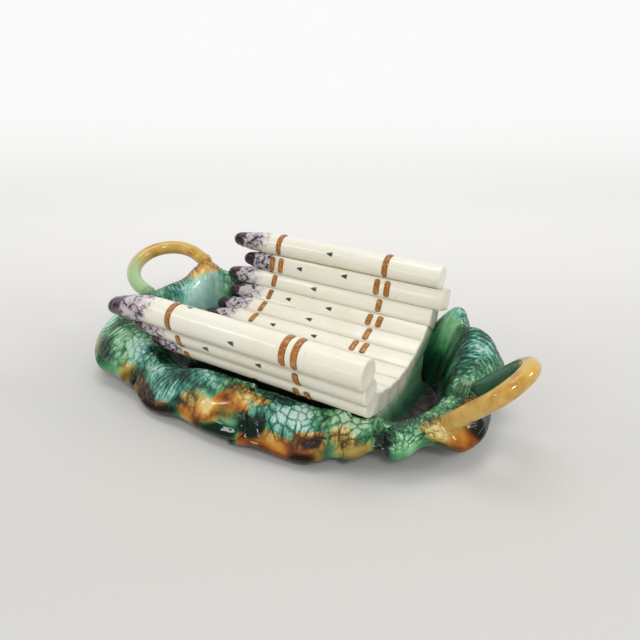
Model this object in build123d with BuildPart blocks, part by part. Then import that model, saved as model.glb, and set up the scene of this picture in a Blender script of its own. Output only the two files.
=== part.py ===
"""Asparagus plate: a leaf dish with two stem handles and a cradle of asparagus spears.

Lengths in millimetres, +Z up, the table at Z = 0. X runs along the spears with the butts at +X,
and the front of the plate is at -Y. Angles around the dish are in degrees, 0 at the right end (+X)
and 270 at the front.
"""
import os
from collections import namedtuple
from math import copysign, cos, hypot, pi, radians, sin, sqrt, tan

from build123d import *

# Driving sizes of the stand and the well
foot_height = 6.0
foot_width = 9.0
floor_thickness = 5.0
vent_diameter = 9.0
well_gap = 11.0
well_shift = 6.0
oval_power = 2.8

# Driving sizes of the leaves
leaf_thickness = 7.0
rim_thickness = 5.5
leaf_overlap = 4.0
leaf_reach = 40.0
leaf_crest = 35.0
leaf_rim = 17.0

# Driving sizes of the handles and the stalk stump
handle_radius = 6.4
right_throw = 40.5
left_throw = 45.5
right_rise = 43.0
left_rise = 15.0
root_depth = 12.0
stump_radius = 5.5
stump_length = 15.0

# Driving sizes of the cradle
spear_radius = 9.2
front_spear_radius = 11.0
spear_breadth = 16.0
wall_breadth = 11.0
top_breadth = 10.5
spear_crowding = 0.89
butt_bevel = 1.6
tip_slenderness = 3.9
base_depth = 11.0
base_flare = 8.0
base_waist = 4.0

# Driving sizes of the ties
tie_spacing = 106.0
dash_width = 4.6
dash_relief = 0.9
dash_pair = 9.4
dash_gap = 1.2
cap_half_angle = 78.0

# The row of spears, from the top of the back wall round the trough to the top of the front wall.
# heading: direction of the step to the next spear, in degrees from straight down towards the front
# tip, butt: how far the spear reaches each way from the middle
# droop: how many degrees the tip bends down
# tip_dashes, butt_dashes: raffia dashes on the spear at each tie
Spear = namedtuple("Spear", "heading tip butt droop tip_dashes butt_dashes")
SPEARS = [
    Spear(14, 109, 100, 1, 1, 1),
    Spear(16, 95, 106, 1, 2, 2),
    Spear(35, 112, 99, 2, 1, 1),
    Spear(58, 104, 98, 1, 1, 2),
    Spear(68, 108, 98, 3, 1, 1),
    Spear(78, 112, 98, 4, 1, 2),
    Spear(88, 106, 98, 2, 1, 1),
    Spear(99, 110, 98, 2, 1, 2),
    Spear(110, 103, 98, 2, 1, 1),
    Spear(122, 99, 99, 2, 1, 2),
    Spear(153, 98, 103, 3, 1, 2),
    Spear(157, 108, 105, 3, 1, 1),
    Spear(157, 127, 106, 8, 1, 2),
]
last_spear = len(SPEARS) - 1
first_base_spear = 3
last_base_spear = 10

# Sections of a tip: share of its length, and half depth and half breadth as shares of the radius.
TIP_SECTIONS = [
    (0.30, 0.98, 1.12),
    (0.55, 0.91, 0.96),
    (0.78, 0.76, 0.78),
    (0.92, 0.52, 0.53),
    (0.985, 0.25, 0.25),
    (1.0, 0.06, 0.06),
]

# The lobes of the leaf ring: where each one is, how far it spreads each way, and what it adds to
# the reach, the crest height and the rim height of the ring there.
Lobe = namedtuple("Lobe", "angle spread reach crest rim")
LOBES = [
    Lobe(19, 12, 8, 3, 4),
    Lobe(30, 27, 2, 27, 21),
    Lobe(31, 10, -7, -5, -3),
    Lobe(43, 14, 4, 6, 5),
    Lobe(70, 14, 0, -4, 0),
    Lobe(98, 16, 0, -4, -10),
    Lobe(128, 15, 0, -6, -2),
    Lobe(157, 15, 0, 9, 12),
    Lobe(182, 14, 2, -4, 4),
    Lobe(198, 13, 2, 3, 9),
    Lobe(209, 25, 21, -2, -4),
    Lobe(218, 9, 1, -3, -5),
    Lobe(229, 10, 3, -8, -8),
    Lobe(247, 20, 6, -10, -9),
    Lobe(268, 11, 3, -3, -5),
    Lobe(289, 13, -2, 0, -4),
    Lobe(303, 11, -10, 1, 0),
    Lobe(316, 13, -9, 0, 11),
    Lobe(333, 15, -6, -2, 15),
    Lobe(355, 14, 4, 0, 0),
]

# Where the walls lean outward more, or less, than elsewhere: angle, spread, share of the reach.
Lean = namedtuple("Lean", "angle spread share")
LEANS = [
    Lean(36, 24, 0.20),
    Lean(141, 20, 0.24),
    Lean(167, 18, -0.14),
    Lean(241, 36, 0.28),
    Lean(294, 25, 0.16),
    Lean(314, 18, 0.20),
]

# The leaves and the angles at which they start; each ends where the next one starts.
LEAVES = [
    ("leaf_right_end", -40),
    ("leaf_back_right", 8),
    ("leaf_back_middle", 57),
    ("leaf_back_left", 100),
    ("leaf_left_end", 136),
    ("leaf_front_left", 193),
    ("leaf_front_middle", 231),
    ("leaf_front_right", 271),
    ("leaf_front_corner", 303),
]
station_step = 5.0

# Worked out from the sizes above
floor_top = foot_height + floor_thickness
spear_reach = max(spear.tip for spear in SPEARS[:last_spear])
well_half_length = spear_reach + well_gap


def spear_size(index):
    """Radius of a spear: the one on top of the front wall is thicker."""
    return front_spear_radius if index == last_spear else spear_radius


def spear_spread(index):
    """Half breadth of a spear before its sides are cut flat: only the one on top of the front is round."""
    if index == 0:
        return top_breadth
    if index == last_spear:
        return front_spear_radius
    return wall_breadth if index >= last_base_spear else spear_breadth


def row_headings(index):
    """Headings of the row of spears before and after a spear."""
    return SPEARS[max(index - 1, 0)].heading, SPEARS[min(index, last_spear - 1)].heading


def row_heading(index):
    """Direction of the row of spears at a spear."""
    return sum(row_headings(index)) / 2


def heading_vector(heading):
    """Unit step in (Y, Z) for a heading."""
    return -sin(radians(heading)), -cos(radians(heading))


def step_length(index):
    """Distance between the axes of a spear and the next one."""
    return spear_crowding * (spear_size(index) + spear_size(index + 1))


def trough_axes():
    """Axes of the spears in (Y, Z), the trough centred on Y = 0 and lying on the base."""
    axes = [(0.0, 0.0)]
    for index in range(last_spear):
        step_y, step_z = heading_vector(SPEARS[index].heading)
        length = step_length(index)
        axes.append((axes[-1][0] + length * step_y, axes[-1][1] + length * step_z))
    middle = (axes[0][0] + axes[-1][0]) / 2
    lowest = min(z for _, z in axes)
    lift = floor_top + base_depth + spear_radius - lowest
    return [(y - middle, z + lift) for y, z in axes]


AXES = trough_axes()
trough_half_width = (AXES[0][0] - AXES[-1][0]) / 2
well_half_width = 0.8 * trough_half_width


def power(value, exponent):
    return copysign(abs(value) ** exponent, value)


def oval_point(angle, grow=0.0):
    """Point on the edge of the well, or on an oval that is larger all round."""
    turn = radians(angle)
    x = (well_half_length + grow) * power(cos(turn), 2 / oval_power)
    y = (well_half_width + grow) * power(sin(turn), 2 / oval_power)
    return x, y + well_shift


def oval_normal(angle):
    """Outward direction at the edge of the well."""
    turn = radians(angle)
    x = power(cos(turn), 2 - 2 / oval_power) / well_half_length
    y = power(sin(turn), 2 - 2 / oval_power) / well_half_width
    size = hypot(x, y)
    return x / size, y / size


def bump(distance, spread):
    """A smooth hump, 1 in the middle and 0 from the spread outward."""
    distance = (distance + 180) % 360 - 180
    if abs(distance) >= spread:
        return 0.0
    return cos(pi / 2 * distance / spread) ** 2


def ring_sizes(angle):
    """Reach, crest height and rim height of the leaf ring, heights above the well floor."""
    across, along = sin(radians(angle)), cos(radians(angle))
    reach = leaf_reach - 3 * across
    crest = leaf_crest + 5 * across - 10 * along
    rim = leaf_rim + 14 * across - 8 * along
    for lobe in LOBES:
        share = bump(angle - lobe.angle, lobe.spread)
        reach += lobe.reach * share
        crest += lobe.crest * share
        rim += lobe.rim * share
    return reach, crest, rim


def leaf_controls(angle, lift=0.0):
    """Control points of the upper side of a leaf section, (outward, height)."""
    reach, crest, rim = ring_sizes(angle)
    crest += lift
    rim += lift
    flare = min(1.0, max(0.0, 1 - (crest - rim) / 30))
    lean = sum(item.share * bump(angle - item.angle, item.spread) for item in LEANS)
    return [
        (0.0, floor_top),
        ((0.02 + 0.12 * flare + lean) * reach, floor_top + 0.85 * crest),
        ((0.33 + 0.18 * flare + lean) * reach, floor_top + 1.6 * crest),
        ((0.79 + 0.13 * flare) * reach, floor_top + (crest + rim) / 2 + 3),
        (reach, floor_top + rim),
    ]


def offset_controls(upper):
    """Control points of the underside, a leaf thickness below the upper side."""
    lower = [(leaf_thickness, floor_top)]
    for index in range(1, len(upper)):
        before = upper[index - 1]
        after = upper[min(index + 1, len(upper) - 1)]
        run, rise = after[0] - before[0], after[1] - before[1]
        size = hypot(run, rise)
        depth = rim_thickness if index == len(upper) - 1 else leaf_thickness
        lower.append((upper[index][0] + depth * rise / size, upper[index][1] - depth * run / size))
    return lower


def section_plane(angle):
    """Upright plane across the leaf wall: local x outward, local y up."""
    x, y = oval_point(angle)
    out_x, out_y = oval_normal(angle)
    return Plane(origin=(x, y, 0), x_dir=(out_x, out_y, 0), z_dir=(out_y, -out_x, 0))


def leaf_point(angle, share):
    """Point on the upper side of the ring, share 0 at the floor and 1 at the rim."""
    controls = leaf_controls(angle)
    weights = [1, 4, 6, 4, 1]
    out = sum(
        weight * share ** i * (1 - share) ** (4 - i) * controls[i][0]
        for i, weight in enumerate(weights)
    )
    height = sum(
        weight * share ** i * (1 - share) ** (4 - i) * controls[i][1]
        for i, weight in enumerate(weights)
    )
    x, y = oval_point(angle)
    out_x, out_y = oval_normal(angle)
    return Vector(x + out * out_x, y + out * out_y, height)


os.makedirs("parts", exist_ok=True)


def save(piece, name):
    piece.label = name
    export_step(piece, f"parts/{name}.step")


def oval_sketch(grow):
    """The well oval, grown all round, as a closed smooth outline."""
    points = [oval_point(angle, grow) for angle in range(0, 360, 10)]
    with BuildSketch() as sketch:
        with BuildLine():
            Spline(*points, periodic=True)
        make_face()
    return sketch.sketch


# Foot ring
with BuildPart() as foot_ring:
    with BuildSketch():
        add(oval_sketch(-4))
        add(oval_sketch(-4 - foot_width), mode=Mode.SUBTRACT)
    extrude(amount=foot_height)
save(foot_ring.part, "foot_ring")

# Floor of the well, reaching out under the feet of the leaves
with BuildPart() as dish_floor:
    with BuildSketch(Plane.XY.offset(foot_height)):
        add(oval_sketch(leaf_thickness + 1.5))
        Circle(vent_diameter / 2, mode=Mode.SUBTRACT)
    extrude(amount=floor_thickness)
save(dish_floor.part, "dish_floor")

# Leaves: each is a loft through upright sections from the floor edge over the crest to the rim
leaf_parts = {}
for number, (leaf_name, start) in enumerate(LEAVES):
    end = LEAVES[number + 1][1] if number + 1 < len(LEAVES) else LEAVES[0][1] + 360
    steps = round((end - start) / station_step)
    with BuildPart() as leaf:
        for step in range(steps + 1):
            angle = start + (end - start) * step / steps
            lift = leaf_overlap * (step / steps - 0.5)
            upper = leaf_controls(angle, lift)
            lower = offset_controls(upper)
            edge, under = Vector(*upper[-1]), Vector(*lower[-1])
            outward = (edge - Vector(*upper[-2])).normalized()
            bulge = outward * (0.66 * rim_thickness)
            with BuildSketch(section_plane(angle)):
                with BuildLine():
                    Bezier(*upper)
                    Bezier(edge, edge + bulge, under + bulge, under)
                    Bezier(*reversed(lower))
                    Line(lower[0], upper[0])
                make_face()
        loft()
    leaf_parts[leaf_name] = leaf.part
    save(leaf.part, leaf_name)


def stem_handle(root_angles, root_share, throw, rise, leaves):
    """A round stem bent to a loop: two straight legs and half a circle, its ends cut to the leaves."""
    roots = [leaf_point(angle, root_share) for angle in root_angles]
    half_span = (roots[0] - roots[1]) / 2
    out = Vector(-half_span.Y, half_span.X, 0).normalized() * throw + Vector(0, 0, rise)
    out -= half_span * (out.dot(half_span) / half_span.dot(half_span))
    along = out.normalized()
    leg = out.length - half_span.length
    turn = Axis((roots[0] + roots[1]) / 2 + along * leg, half_span.cross(along))
    with BuildPart() as stem:
        for root in roots:
            with BuildSketch(Plane(origin=root - along * root_depth, z_dir=along)):
                Circle(handle_radius)
            extrude(amount=root_depth + leg)
        with BuildSketch(Plane(origin=roots[0] + along * leg, z_dir=along)):
            Circle(handle_radius)
        revolve(axis=turn, revolution_arc=180)
        for leaf_name in leaves:
            add(leaf_parts[leaf_name], mode=Mode.SUBTRACT)
    return stem.part.solids().sort_by(SortBy.VOLUME)[-1]


# Handles
right_leaves = ["leaf_right_end", "leaf_back_right"]
right_handle = stem_handle((-15, 5), 0.69, right_throw, right_rise, right_leaves)
save(right_handle, "right_handle")
left_handle = stem_handle((155, 187), 0.62, left_throw, left_rise, ["leaf_left_end"])
save(left_handle, "left_handle")


def spear_plane(index, x, sink=0.0, droop=0.0):
    """Plane across a spear: local x back along the row of spears, local y towards the inside."""
    y, z = AXES[index]
    step_y, step_z = heading_vector(row_heading(index))
    back = Vector(0, -step_y, -step_z)
    normal = Vector(cos(radians(droop)), 0, sin(radians(droop)))
    return Plane(origin=(x, y, z - sink), x_dir=back - normal * normal.dot(back), z_dir=normal)


# Spears: an oval stalk with a lofted tip, cut flat where it meets its neighbours
for index, spear in enumerate(SPEARS):
    y, z = AXES[index]
    radius = spear_size(index)
    tip_taper = tip_slenderness * radius
    neck_x = tip_taper - spear.tip
    droop = radians(spear.droop)
    with BuildPart() as stalk:
        with BuildSketch(spear_plane(index, neck_x)):
            Ellipse(spear_spread(index), radius)
        extrude(amount=spear.butt - neck_x)
        chamfer(stalk.edges().sort_by(Axis.X)[-1], butt_bevel)
        with BuildSketch(spear_plane(index, neck_x)):
            Ellipse(spear_spread(index), radius)
        for share, depth, breadth in TIP_SECTIONS:
            far = share * tip_taper
            tip_plane = spear_plane(index, neck_x - far * cos(droop), far * sin(droop), spear.droop)
            with BuildSketch(tip_plane):
                Ellipse(breadth * radius, depth * radius)
        loft()
        for other in (index - 1, index + 1):
            if 0 <= other <= last_spear:
                other_y, other_z = AXES[other]
                gap = hypot(other_y - y, other_z - z)
                share = (gap ** 2 + radius ** 2 - spear_size(other) ** 2) / (2 * gap ** 2)
                middle = (0, y + share * (other_y - y), z + share * (other_z - z))
                side = Plane(origin=middle, x_dir=(1, 0, 0), z_dir=(0, other_y - y, other_z - z))
                with Locations(side):
                    Box(
                        3 * spear_reach, 4 * radius, 2 * radius,
                        align=(Align.CENTER, Align.CENTER, Align.MIN),
                        mode=Mode.SUBTRACT,
                    )
    save(stalk.part, f"spear_{index + 1:02d}")

# Base of the cradle: a flared block with a groove for each spear that lies on it
back_y, back_z = AXES[first_base_spear]
front_y, front_z = AXES[last_base_spear]
diagonal = 0.9 * spear_radius * sqrt(0.5)
back_edge = (back_y + diagonal, back_z - diagonal)
front_edge = (front_y - diagonal, front_z - diagonal)
back_foot = (0.8 * back_y, floor_top)
front_foot = (0.72 * front_y, floor_top)
butt_end = min(spear.butt for spear in SPEARS[first_base_spear:last_base_spear + 1])
shortest_tip = min(spear.tip for spear in SPEARS[first_base_spear:last_base_spear + 1])
tip_end = tip_slenderness * spear_radius - shortest_tip
with BuildPart() as cradle_base:
    with BuildSketch(Plane.YZ.offset(tip_end)):
        with BuildLine():
            Polyline(back_edge, *AXES[first_base_spear:last_base_spear + 1], front_edge)
            Bezier(front_edge, (front_foot[0] - base_waist, 0.6 * front_edge[1]), front_foot)
            Line(front_foot, back_foot)
            Bezier(back_foot, (back_foot[0] + base_waist, 0.6 * back_edge[1]), back_edge)
        make_face()
    extrude(amount=butt_end + base_flare - tip_end)
    with BuildSketch(Plane.XZ.offset(-2 * trough_half_width)):
        with BuildLine():
            foot_end = (butt_end + base_flare, floor_top)
            flare_top = (butt_end, floor_top + base_depth)
            Polyline(flare_top, (butt_end, 2 * back_z), (tip_end, 2 * back_z), (tip_end, floor_top), foot_end)
            Bezier(foot_end, (butt_end, floor_top + 0.3 * base_depth), flare_top)
        make_face()
    extrude(amount=4 * trough_half_width, mode=Mode.INTERSECT)
    extrude(oval_sketch(-2), amount=2 * back_z, mode=Mode.INTERSECT)
    for index in range(first_base_spear, last_base_spear + 1):
        with BuildSketch(spear_plane(index, tip_end)):
            Ellipse(spear_spread(index), spear_radius)
        extrude(amount=2 * butt_end, mode=Mode.SUBTRACT)
save(cradle_base.part, "cradle_base")


def dash_face(index, x, side, low, high):
    """Section of a raised raffia dash, inside (1) or outside (-1) a spear, from low to high across it."""
    depth, breadth = spear_size(index), spear_spread(index)
    with BuildSketch(spear_plane(index, x - dash_width / 2)) as section:
        Ellipse(breadth + dash_relief, depth + dash_relief)
        Ellipse(breadth, depth, mode=Mode.SUBTRACT)
        with Locations(((low + high) / 2, side * depth)):
            Rectangle(high - low, 2 * depth, mode=Mode.INTERSECT)
    return section.sketch


def cap_face(index, x, facing):
    """Section of a dash that goes over the spear on top of a wall, in the middle of the direction it faces."""
    depth, breadth = spear_size(index), spear_spread(index)
    with BuildSketch(spear_plane(index, x - dash_width / 2)) as section:
        with BuildLine():
            Polyline(
                (0, 0),
                *[(3 * depth * cos(radians(turn)), 3 * depth * sin(radians(turn)))
                  for turn in (facing - cap_half_angle, facing, facing + cap_half_angle)],
                close=True,
            )
        make_face()
        Ellipse(breadth + dash_relief, depth + dash_relief, mode=Mode.INTERSECT)
        Ellipse(breadth, depth, mode=Mode.SUBTRACT)
    return section.sketch


def dash_half(index):
    """Half length of a dash on the inside of a spear, where the row turns in and leaves less room."""
    before, after = row_headings(index)
    turn = radians((after - before) / 2)
    room = spear_crowding * spear_radius / cos(turn) - (spear_radius + dash_relief) * tan(turn)
    return room - dash_gap


def tie_faces(x, counts):
    """The dashes of one tie: inside every spear, and outside the spears of the front wall."""
    sections = []
    for index, count in enumerate(counts):
        half = dash_half(index)
        for place in range(count):
            dash_x = x + (place - (count - 1) / 2) * dash_pair
            if index == 0:
                sections.append(cap_face(index, dash_x, 57))
            elif index == last_spear:
                sections.append(cap_face(index, dash_x, 207))
            else:
                sections.append(dash_face(index, dash_x, 1, -half, half))
            if index == last_base_spear:
                sections.append(dash_face(index, dash_x, -1, -half, -0.2 * half))
            elif last_base_spear < index < last_spear:
                sections.append(dash_face(index, dash_x, -1, -half, half))
    return sections


# Ties
with BuildPart() as tie_tip_end:
    for section in tie_faces(-tie_spacing / 2, [spear.tip_dashes for spear in SPEARS]):
        extrude(section, amount=dash_width)
save(tie_tip_end.part, "tie_tip_end")
with BuildPart() as tie_butt_end:
    for section in tie_faces(tie_spacing / 2, [spear.butt_dashes for spear in SPEARS]):
        extrude(section, amount=dash_width)
save(tie_butt_end.part, "tie_butt_end")

# Stalk stump beside the far root of the right handle
stump_root = leaf_point(1, 0.5)
with BuildPart() as stalk_stump:
    stump_line = Plane(origin=stump_root - Vector(0, 0, 6), z_dir=(0.2, 0, 0.98))
    with Locations(stump_line):
        Cone(
            stump_radius, 0.8 * stump_radius, stump_length,
            align=(Align.CENTER, Align.CENTER, Align.MIN),
        )
    for leaf_name in right_leaves:
        add(leaf_parts[leaf_name], mode=Mode.SUBTRACT)
save(stalk_stump.part.solids().sort_by(SortBy.VOLUME)[-1], "stalk_stump")
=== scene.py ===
from collections import namedtuple
from math import asin, atan2, cos, degrees, hypot, pi, radians, sin, tan

import bpy
import numpy as np
from mathutils import Matrix, Vector


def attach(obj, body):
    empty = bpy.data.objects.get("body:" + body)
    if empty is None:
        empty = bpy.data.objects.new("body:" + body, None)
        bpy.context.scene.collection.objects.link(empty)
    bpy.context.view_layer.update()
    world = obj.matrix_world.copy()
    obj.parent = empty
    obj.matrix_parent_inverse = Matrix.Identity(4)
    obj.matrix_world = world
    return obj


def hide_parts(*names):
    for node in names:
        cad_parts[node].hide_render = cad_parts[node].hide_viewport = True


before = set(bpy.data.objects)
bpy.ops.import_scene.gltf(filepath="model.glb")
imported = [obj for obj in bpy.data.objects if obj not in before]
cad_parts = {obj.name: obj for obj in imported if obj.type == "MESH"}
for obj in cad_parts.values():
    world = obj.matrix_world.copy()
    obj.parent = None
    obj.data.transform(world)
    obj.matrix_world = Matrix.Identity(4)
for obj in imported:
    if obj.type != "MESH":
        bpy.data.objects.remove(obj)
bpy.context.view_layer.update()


# Foot ring: the low oval ring that the dish stands on, thrown or pressed from the same clay and luted
# under the floor. Its glaze is thin, and the rim that meets the table is wiped bare.

class Wire:
    """One output of a node tree. Sums written on wires add Math nodes to the tree."""

    def __init__(self, tree, socket=None):
        self.tree = tree
        self.socket = socket

    def node(self, kind, inputs=None, output=0, **settings):
        """Adds a node with values or wires for its inputs. Its settings are given by name."""
        made = self.tree.nodes.new(kind)
        for name, value in settings.items():
            setattr(made, name, value)
        for name, value in (inputs or {}).items():
            if isinstance(value, Wire):
                self.tree.links.new(value.socket, made.inputs[name])
            else:
                made.inputs[name].default_value = value
        return Wire(self.tree, made.outputs[output])

    def combine(self, operation, first, second):
        return self.node("ShaderNodeMath", {0: first, 1: second}, operation=operation)

    def __add__(self, other):
        return self.combine("ADD", self, other)

    __radd__ = __add__

    def __sub__(self, other):
        return self.combine("SUBTRACT", self, other)

    def __rsub__(self, other):
        return self.combine("SUBTRACT", other, self)

    def __mul__(self, other):
        return self.combine("MULTIPLY", self, other)

    __rmul__ = __mul__

    def __pow__(self, other):
        return self.combine("POWER", self, other)

    def at_most(self, other):
        return self.combine("MINIMUM", self, other)

    def at_least(self, other):
        return self.combine("MAXIMUM", self, other)

    def step(self, low, high):
        """0 below the low value, 1 above the high one, smooth between."""
        ends = {"Value": self, "From Min": low, "From Max": high}
        return self.node("ShaderNodeMapRange", ends, interpolation_type="SMOOTHSTEP")

    def bell(self, steepness=1.0):
        """1 where the value is 0, falling off to 0 either side."""
        return self.node("ShaderNodeMath", {0: 0.0 - steepness * self * self}, operation="EXPONENT")

    def ramp(self, stops):
        """The colour that a list of stops gives for the value."""
        made = self.node("ShaderNodeValToRGB", {"Fac": self})
        elements = made.socket.node.color_ramp.elements
        elements[0].position, elements[0].color = stops[0]
        elements[1].position, elements[1].color = stops[-1]
        for place, colour in stops[1:-1]:
            elements.new(place).color = colour
        return made

    def coats(self, colour, *layers):
        """A colour with coats over it in turn: how much of each shows, from 0 to 1, and its colour."""
        for share, over in layers:
            inputs = {0: share, 6: colour, 7: over}
            colour = self.node("ShaderNodeMix", inputs, output=2, data_type="RGBA")
        return colour

    def attribute(self, name):
        return self.node("ShaderNodeAttribute", output="Fac", attribute_name=name)

    def cloud(self, scale, detail=2.0, rough=0.5):
        """Soft noise over the piece, from 0 to 1."""
        place = self.node("ShaderNodeTexCoord", output="Object")
        inputs = {"Vector": place, "Scale": scale, "Detail": detail, "Roughness": rough}
        return self.node("ShaderNodeTexNoise", inputs)

    def place(self, axis):
        """Place along an axis of the piece, in metres; Z is the height above the table."""
        place = self.node("ShaderNodeTexCoord", output="Object")
        return self.node("ShaderNodeSeparateXYZ", {"Vector": place}, output=axis)

    def ray(self, kind):
        """1 for rays of a kind, such as those that leave the camera, and 0 for others."""
        return self.node("ShaderNodeLightPath", output=kind)

    def vector(self, x, y, z):
        return self.node("ShaderNodeCombineXYZ", {"X": x, "Y": y, "Z": z})

    def store(self, geometry, name, value):
        """A geometry with a named value kept on its points."""
        inputs = {"Geometry": geometry, "Name": name, "Value": value}
        return self.node("GeometryNodeStoreNamedAttribute", inputs, data_type="FLOAT", domain="POINT")

    def tube(self, line, section, scale):
        """A smooth tube: a section carried along a line and scaled on the way."""
        inputs = {"Curve": line, "Profile Curve": section, "Scale": scale, "Fill Caps": True}
        rough = self.node("GeometryNodeCurveToMesh", inputs)
        return self.node("GeometryNodeSetShadeSmooth", {"Geometry": rough})


def new_glaze(name, roughness):
    """A fired glaze: the material, its shader and a wire to start its nodes from."""
    material = bpy.data.materials.new(name)
    material.use_nodes = True
    shader = material.node_tree.nodes["Principled BSDF"]
    shader.inputs["Roughness"].default_value = roughness
    shader.inputs["IOR"].default_value = 1.55
    return material, shader, Wire(material.node_tree)


def finish_glaze(shader, wire, colour, ripple, ripple_depth):
    """Connects the colour, and a ripple in the glaze as a bump."""
    wire.tree.links.new(colour.socket, shader.inputs["Base Color"])
    bump = wire.node("ShaderNodeBump", {"Height": ripple, "Strength": 0.5, "Distance": ripple_depth})
    wire.tree.links.new(bump.socket, shader.inputs["Normal"])


bare_clay = (0.60, 0.50, 0.36, 1)
thin_green = (0.06, 0.15, 0.08, 1)
thin_olive = (0.16, 0.22, 0.10, 1)
foot_glaze, foot_shader, wire = new_glaze("foot glaze", 0.25)
wiped = wire.place("Z").step(0.0035, 0.001)
foot_colour = wire.coats(thin_green, (wire.cloud(120), thin_olive), (wiped, bare_clay))
finish_glaze(foot_shader, wire, foot_colour, wire.cloud(500), 0.0004)
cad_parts["foot_ring"].material_slots[0].material = foot_glaze


# Floor of the well: a flat oval slab of clay with a firing vent under the cradle. Its glaze runs off
# the leaves and lies thick and dark on it.

well_dark = (0.028, 0.021, 0.024, 1)
well_light = (0.085, 0.068, 0.072, 1)
well_green = (0.012, 0.035, 0.022, 1)
well_glaze, well_shader, wire = new_glaze("well glaze", 0.10)
well_colour = wire.coats(
    well_dark,
    (wire.cloud(160, 3.0).step(0.4, 0.75), well_light),
    (wire.cloud(60, 4.0).step(0.55, 0.75), well_green),
)
finish_glaze(well_shader, wire, well_colour, wire.cloud(350), 0.0005)
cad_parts["dish_floor"].material_slots[0].material = well_glaze


# Leaves: nine press-moulded leaves of soft clay, luted side by side to the edge of the floor so that
# each overlaps the next. Veins are pressed into the clay; the green, amber and brown glazes run into
# them and gather along the drooping rims.

MM = 0.001
floor_top = 11.0
trough_half_width = 69.61
well_half_length = 123.0
well_half_width = 0.8 * trough_half_width
well_shift = 6.0
oval_power = 2.8
leaf_thickness = 7.0
rim_thickness = 5.5
leaf_overlap = 4.0
leaf_reach = 40.0
leaf_crest = 35.0
leaf_rim = 17.0
tongue_length = 2.6
corner_round = 5.0
fold_radius = 3.2
scroll_angle = 160
skin_inset = 0.15
leaf_run = 72.0
cell_size = 6.4
rib_spacing = 4.0
row_step = 0.27
upper_rows = 132
lip_rows = 10
under_rows = 40

# The lobes of the leaf ring: where each one is, how far it spreads each way, and what it adds to the
# reach, the crest height and the rim height of the ring there.
Lobe = namedtuple("Lobe", "angle spread reach crest rim")
LOBES = [
    Lobe(19, 12, 8, 3, 4),
    Lobe(30, 27, 2, 27, 21),
    Lobe(31, 10, -7, -5, -3),
    Lobe(43, 14, 4, 6, 5),
    Lobe(70, 14, 0, -4, 0),
    Lobe(98, 16, 0, -4, -10),
    Lobe(128, 15, 0, -6, -2),
    Lobe(157, 15, 0, 9, 12),
    Lobe(182, 14, 2, -4, 4),
    Lobe(198, 13, 2, 3, 9),
    Lobe(209, 25, 21, -2, -4),
    Lobe(218, 9, 1, -3, -5),
    Lobe(229, 10, 3, -8, -8),
    Lobe(247, 20, 6, -10, -9),
    Lobe(268, 11, 3, -3, -5),
    Lobe(289, 13, -2, 0, -4),
    Lobe(303, 11, -10, 1, 0),
    Lobe(316, 13, -9, 0, 11),
    Lobe(333, 15, -6, -2, 15),
    Lobe(355, 14, 4, 0, 0),
]
# Where the walls lean outward more, or less, than elsewhere: angle, spread, share of the reach.
Lean = namedtuple("Lean", "angle spread share")
LEANS = [
    Lean(36, 24, 0.20),
    Lean(141, 20, 0.24),
    Lean(167, 18, -0.14),
    Lean(241, 36, 0.28),
    Lean(294, 25, 0.16),
    Lean(314, 18, 0.20),
]
# The leaves and the angles at which they start; each ends where the next one starts.
LEAVES = [
    ("leaf_right_end", -40),
    ("leaf_back_right", 8),
    ("leaf_back_middle", 57),
    ("leaf_back_left", 100),
    ("leaf_left_end", 136),
    ("leaf_front_left", 193),
    ("leaf_front_middle", 231),
    ("leaf_front_right", 271),
    ("leaf_front_corner", 303),
]

# Where each glaze or surface lies: angle round the dish, its spread, share of the way from floor to
# rim, how far it spreads that way, and how strong it is.
Patch = namedtuple("Patch", "angle spread share depth strength")


def patches(*rows):
    return [Patch(*row) for row in rows]


AMBER = patches(
    (240, 6, 1.02, 0.12, 1.0), (249, 8, 0.98, 0.14, 1.3), (263, 5, 0.94, 0.12, 1.2),
    (267, 5, 0.84, 0.13, 1.5), (271, 5, 0.73, 0.13, 1.6), (275, 4, 0.62, 0.10, 1.2),
    (276, 4, 1.00, 0.08, 1.0), (287, 13, 1.0, 0.18, 1.6), (293, 6, 0.84, 0.10, 1.2),
    (242, 5, 0.92, 0.10, 0.9), (-13, 8, 0.96, 0.24, 1.6), (-6, 10, 0.75, 0.25, 0.5),
    (158, 13, 0.50, 0.14, 1.2), (168, 10, 0.58, 0.12, 0.8), (75, 40, 1.0, 0.14, 0.9),
    (125, 25, 1.0, 0.16, 0.8), (178, 18, 1.0, 0.14, 0.8),
)
OCHRE = patches(
    (229, 6, 0.90, 0.16, 1.1), (238, 8, 0.93, 0.14, 1.3), (262, 6, 0.86, 0.20, 1.0),
    (273, 5, 0.60, 0.16, 1.1), (304, 8, 0.82, 0.17, 1.2), (308, 10, 0.95, 0.14, 1.2),
    (296, 4, 0.94, 0.16, 1.2), (-20, 10, 0.82, 0.36, 1.5), (207, 8, 1.0, 0.10, 1.0),
    (162, 18, 0.58, 0.12, 0.8), (12, 8, 0.95, 0.14, 0.8),
)
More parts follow.
